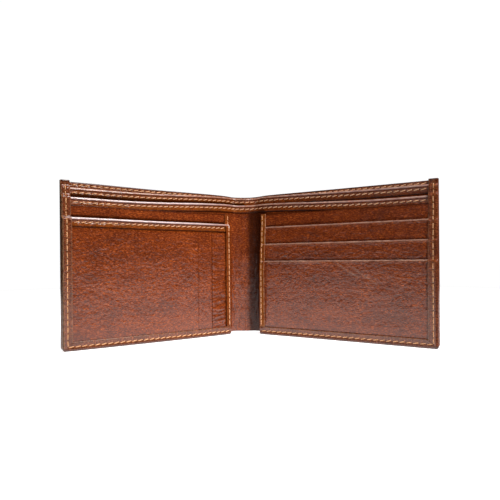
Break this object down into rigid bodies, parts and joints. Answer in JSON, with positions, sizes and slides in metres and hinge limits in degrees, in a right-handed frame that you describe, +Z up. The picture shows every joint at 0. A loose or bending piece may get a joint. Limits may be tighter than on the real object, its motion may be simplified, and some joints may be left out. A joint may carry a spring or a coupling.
{
  "type": "bifold wallet",
  "caption": "Leather bifold wallet standing open, with two long bill compartments, a left side pocket, stepped card slots on the right and stitched turned edges.",
  "frame": {"origin": "middle of the bounding box's bottom, on the surface that the open wallet stands on", "axes": "+X along the open wallet towards the card slots, +Y from the inside towards the outside of the spine, +Z up"},
  "size_m": [0.2014, 0.0654, 0.09],
  "materials": {
    "outer_leather": "glossy, finely grained cowhide, burnished dark at the turned edges",
    "inner_leather": "glossy, finely wrinkled cowhide",
    "lining_cloth": "matte twill weave",
    "thread": "waxed twisted polyester",
    "cardboard": "matte"
  },
  "bodies": {
    "spine": {"outer_shell_spine": "outer_leather", "shell_lining_spine": "lining_cloth", "bill_divider_spine": "inner_leather", "inner_lining_spine": "lining_cloth", "inner_panel_spine": "inner_leather", "shell_hem_stitch_spine": "thread", "divider_hem_stitch_spine": "thread", "panel_hem_stitch_spine": "thread"},
    "left_half": {"outer_shell_left": "outer_leather", "shell_lining_left": "lining_cloth", "bill_divider_left": "inner_leather", "inner_lining_left": "lining_cloth", "inner_panel_left": "inner_leather", "left_pocket_base": "inner_leather", "pocket_stiffener": "cardboard", "left_pocket_lining": "lining_cloth", "left_pocket": "inner_leather", "shell_hem_stitch_left": "thread", "divider_hem_stitch_left": "thread", "panel_hem_stitch_left": "thread", "pocket_hem_stitch": "thread", "edge_stitch_left": "thread", "inner_edge_stitch_left": "thread"},
    "right_half": {"outer_shell_right": "outer_leather", "shell_lining_right": "lining_cloth", "bill_divider_right": "inner_leather", "inner_lining_right": "lining_cloth", "inner_panel_right": "inner_leather", "card_slot_base": "inner_leather", "card_slot_top": "inner_leather", "slot_bag_middle": "lining_cloth", "card_slot_middle": "inner_leather", "slot_bag_bottom": "lining_cloth", "card_slot_bottom": "inner_leather", "shell_hem_stitch_right": "thread", "divider_hem_stitch_right": "thread", "panel_hem_stitch_right": "thread", "edge_stitch_right": "thread", "inner_edge_stitch_right": "thread"}
  },
  "joints": [
    {"name": "fold_left", "type": "hinge", "parent": "spine", "child": "left_half", "pos_m": [-0.00728, 0.03152, 0], "axis": [0, 0, 1], "range_deg": [-32, 58]},
    {"name": "fold_right", "type": "hinge", "parent": "spine", "child": "right_half", "pos_m": [0.00728, 0.03152, 0], "axis": [0, 0, 1], "range_deg": [-58, 32]}
  ],
  "couplings": [
    {"joint": "fold_right", "follows": "fold_left", "ratio": -1}
  ]
}
